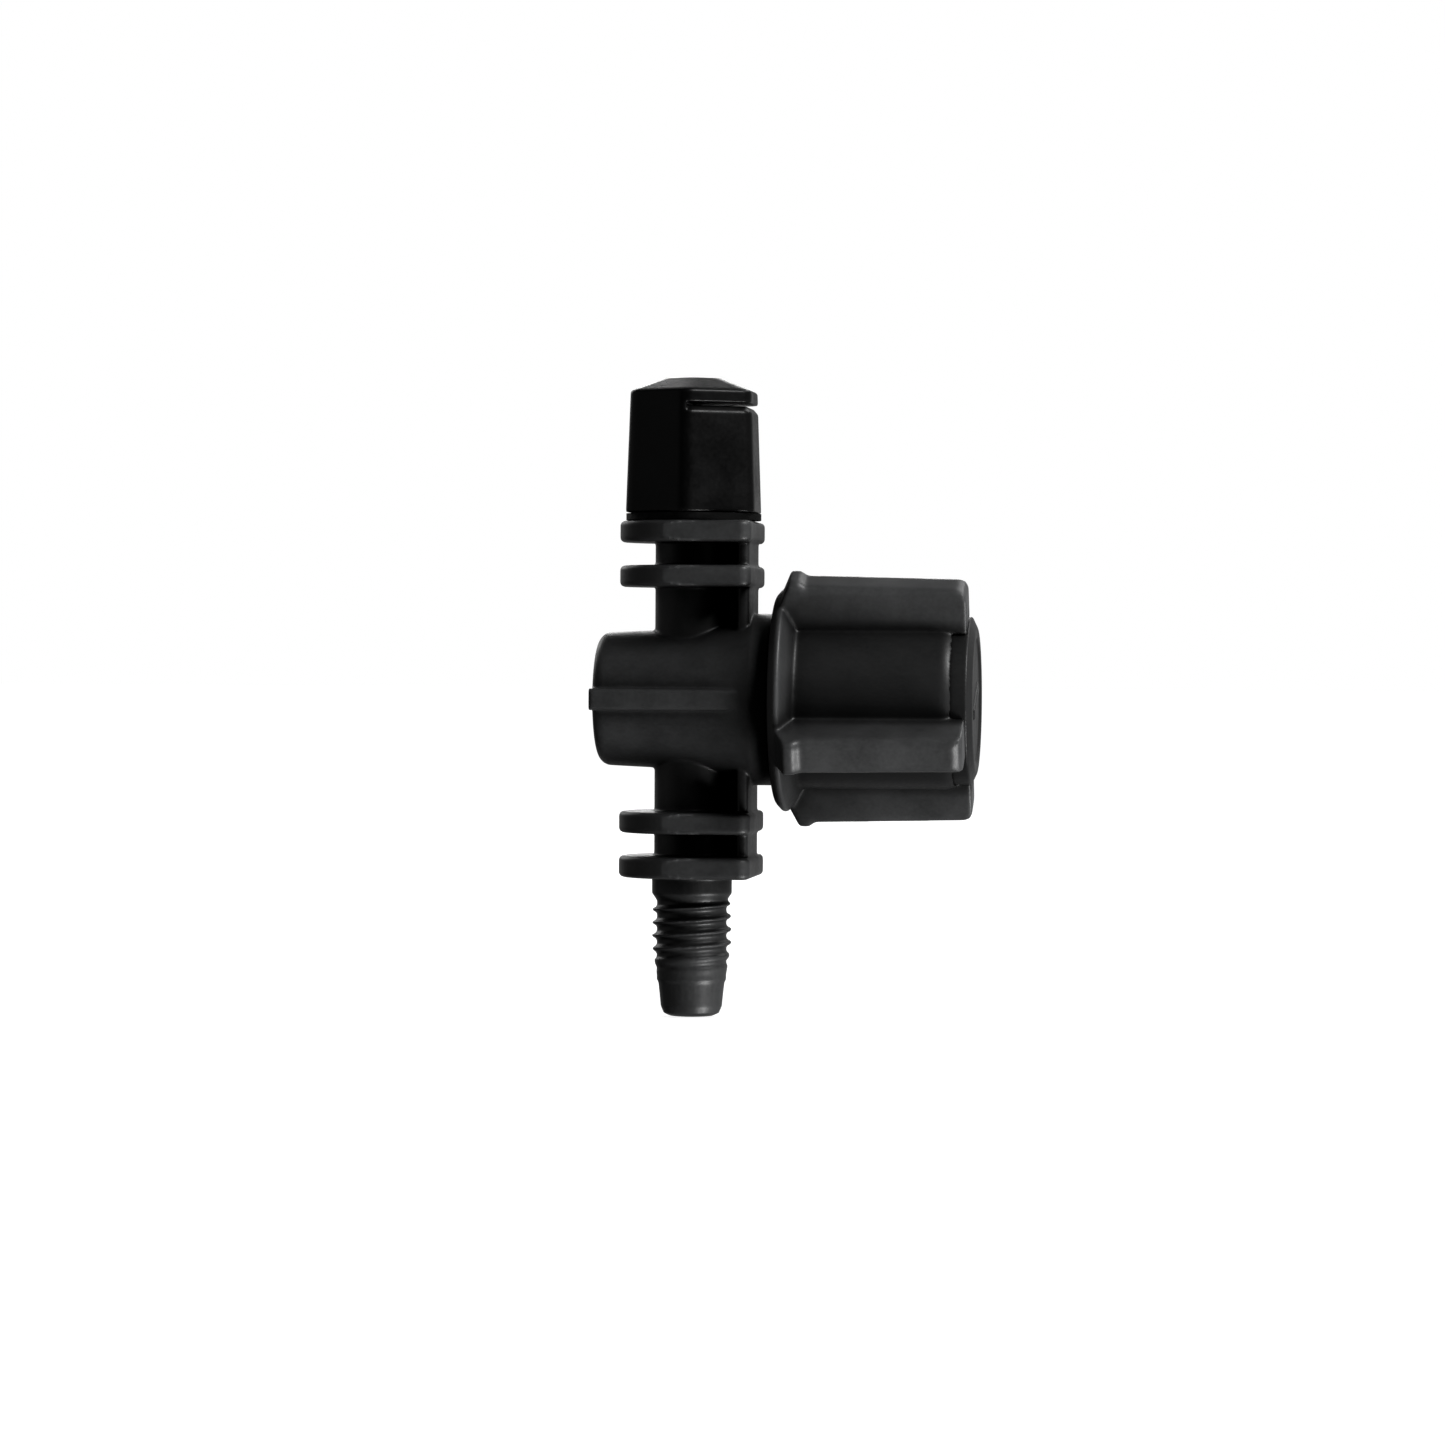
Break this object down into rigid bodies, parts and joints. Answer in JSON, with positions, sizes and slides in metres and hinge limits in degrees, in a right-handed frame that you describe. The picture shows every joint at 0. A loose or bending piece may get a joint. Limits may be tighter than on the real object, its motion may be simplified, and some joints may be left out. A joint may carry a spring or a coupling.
{
  "type": "adjustable drip emitter",
  "caption": "Adjustable drip emitter: threaded inlet nipple, cross-mounted flow valve with a lobed knob, and a hexagonal cap with a half-circle spray slot.",
  "frame": {"origin": "on the flow axis in the plane of the lowest flange's underside, where the inlet nipple is screwed home", "axes": "+Z along the flow axis from the inlet to the nozzle; the valve axis is parallel to X at z = 10.8 mm with its knob on the +X side; +Y completes the right-handed frame"},
  "size_m": [0.023, 0.0156, 0.0387],
  "materials": {
    "body_plastic": "black moulded acetal with a fine satin texture",
    "knob_plastic": "black moulded plastic, satin with lighter worn-looking edges",
    "cap_plastic": "deep black matte moulded plastic",
    "plug_plastic": "smooth dark acetal",
    "washer_plastic": "natural nylon",
    "ring_steel": "spring stainless steel",
    "seal_rubber": "black nitrile rubber"
  },
  "bodies": {
    "body": {"valve_body": "body_plastic", "retaining_ring": "ring_steel", "spigot_oring": "seal_rubber"},
    "valve": {"valve_plug": "plug_plastic", "plug_oring_inner": "seal_rubber", "plug_oring_outer": "seal_rubber", "thrust_washer": "washer_plastic", "control_knob": "knob_plastic", "knob_end_cap": "knob_plastic"},
    "gasket": {"nozzle_gasket": "seal_rubber"},
    "nozzle": {"nozzle_cap": "cap_plastic", "nozzle_core": "cap_plastic"}
  },
  "joints": [
    {"name": "knob_turn", "type": "hinge", "parent": "body", "child": "valve", "pos_m": [0, 0, 0.0108], "axis": [1, 0, 0], "range_deg": [-25.5, 64.5]},
    {"name": "nozzle_turn", "type": "hinge", "parent": "body", "child": "gasket", "pos_m": [0, 0, 0.022], "axis": [0, 0, 1], "continuous": true},
    {"name": "nozzle_lift", "type": "slide", "parent": "gasket", "child": "nozzle", "axis": [0, 0, 1], "range_m": [0, 0.009]}
  ]
}
